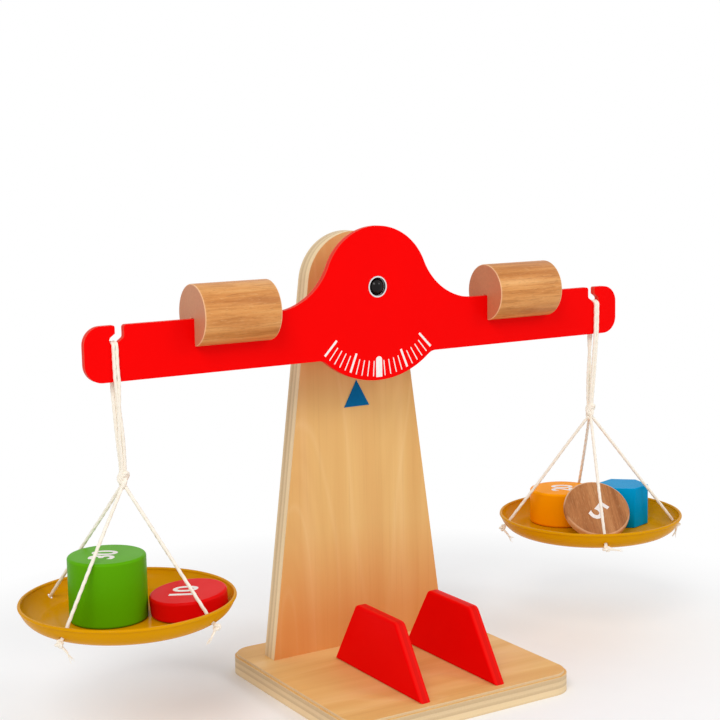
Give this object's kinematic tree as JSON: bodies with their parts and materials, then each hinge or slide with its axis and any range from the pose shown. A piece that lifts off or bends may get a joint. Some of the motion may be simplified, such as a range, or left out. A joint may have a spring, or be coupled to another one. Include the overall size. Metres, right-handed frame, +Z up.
{
  "type": "wooden balance scale toy",
  "caption": "Toy beam balance: plywood post on a base, tilting red beam with sliding riders and two metal pans hung on strings, with loose weights and a weight rack.",
  "frame": {"origin": "on the table straight below the pivot, in the beam's middle plane", "axes": "+X along the beam to the right as seen from the front, +Y to the back, +Z up"},
  "size_m": [0.438, 0.1484, 0.2672],
  "materials": {
    "plywood": "satin",
    "beech": "satin",
    "red_paint": "satin",
    "blue_paint": "matte",
    "yellow_enamel": "gloss",
    "cotton": "matte",
    "steel": "satin",
    "black_steel": "gloss",
    "green_paint": "satin",
    "red_weight_paint": "satin",
    "orange_paint": "satin",
    "blue_plastic": "gloss"
  },
  "bodies": {
    "stand": {"base_board": "plywood", "post": "plywood", "pointer_triangle": "blue_paint", "left_rack_board": "red_paint", "right_rack_board": "red_paint", "post_screw_left": "steel", "post_screw_middle": "steel", "post_screw_right": "steel", "left_rack_screw_front": "steel", "left_rack_screw_back": "steel", "right_rack_screw_front": "steel", "right_rack_screw_back": "steel", "pivot_bolt": "black_steel", "pivot_spacer": "beech", "pivot_washer": "steel", "pivot_nut": "steel"},
    "beam": {"beam_plate": "red_paint", "beam_bush": "steel"},
    "left_rider": {"left_rider": "beech"},
    "right_rider": {"right_rider": "beech"},
    "left_hanger": {"left_loop": "cotton", "left_knot": "cotton"},
    "right_hanger": {"right_loop": "cotton", "right_knot": "cotton"},
    "left_pan": {"left_pan": "yellow_enamel", "left_strings": "cotton"},
    "right_pan": {"right_pan": "yellow_enamel", "right_strings": "cotton"},
    "green_weight": {"green_weight": "green_paint"},
    "red_weight": {"red_weight": "red_weight_paint"},
    "orange_weight": {"orange_weight": "orange_paint"},
    "wooden_disc": {"wooden_disc": "beech"},
    "blue_hexagon": {"blue_hexagon": "blue_plastic"}
  },
  "joints": [
    {"name": "beam_tilt", "type": "hinge", "parent": "stand", "child": "beam", "pos_m": [0, 0, 0.232], "axis": [0, 1, 0], "range_deg": [-18, 18]},
    {"name": "left_hang", "type": "hinge", "parent": "beam", "child": "left_hanger", "pos_m": [-0.16064, 0, 0.2094], "axis": [0, 1, 0], "range_deg": [-18, 18]},
    {"name": "left_pan_swing", "type": "hinge", "parent": "left_hanger", "child": "left_pan", "pos_m": [-0.16064, 0, 0.1392], "axis": [1, 0, 0], "range_deg": [-12, 12]},
    {"name": "right_hang", "type": "hinge", "parent": "beam", "child": "right_hanger", "pos_m": [0.16064, 0, 0.2094], "axis": [0, 1, 0], "range_deg": [-18, 18]},
    {"name": "right_pan_swing", "type": "hinge", "parent": "right_hanger", "child": "right_pan", "pos_m": [0.16064, 0, 0.142], "axis": [1, 0, 0], "range_deg": [-12, 12]},
    {"name": "left_rider_slide", "type": "slide", "parent": "beam", "child": "left_rider", "axis": [1, 0, 0], "range_m": [-0.038, 0.0024]},
    {"name": "right_rider_slide", "type": "slide", "parent": "beam", "child": "right_rider", "axis": [1, 0, 0], "range_m": [-0.0095, 0.031]},
    {"name": "green_weight_lift", "type": "slide", "parent": "left_pan", "child": "green_weight", "axis": [-0.6365, 0.0895, 0.766], "range_m": [0, 0.13], "deforming": ["left_strings"]},
    {"name": "red_weight_lift", "type": "slide", "parent": "left_pan", "child": "red_weight", "axis": [0.554, -0.1485, 0.8192], "range_m": [0, 0.11]},
    {"name": "orange_weight_lift", "type": "slide", "parent": "right_pan", "child": "orange_weight", "axis": [-0.1094, 0.4082, 0.9063], "range_m": [0, 0.11], "deforming": ["right_strings"]},
    {"name": "wooden_disc_lift", "type": "slide", "parent": "right_pan", "child": "wooden_disc", "axis": [0.1485, -0.554, 0.8192], "range_m": [0, 0.11], "deforming": ["right_strings"]},
    {"name": "blue_hexagon_lift", "type": "slide", "parent": "right_pan", "child": "blue_hexagon", "axis": [0.593, 0.593, 0.5446], "range_m": [0, 0.11]}
  ],
  "couplings": [
    {"joint": "left_hang", "follows": "beam_tilt", "ratio": -1},
    {"joint": "right_hang", "follows": "beam_tilt", "ratio": -1}
  ]
}
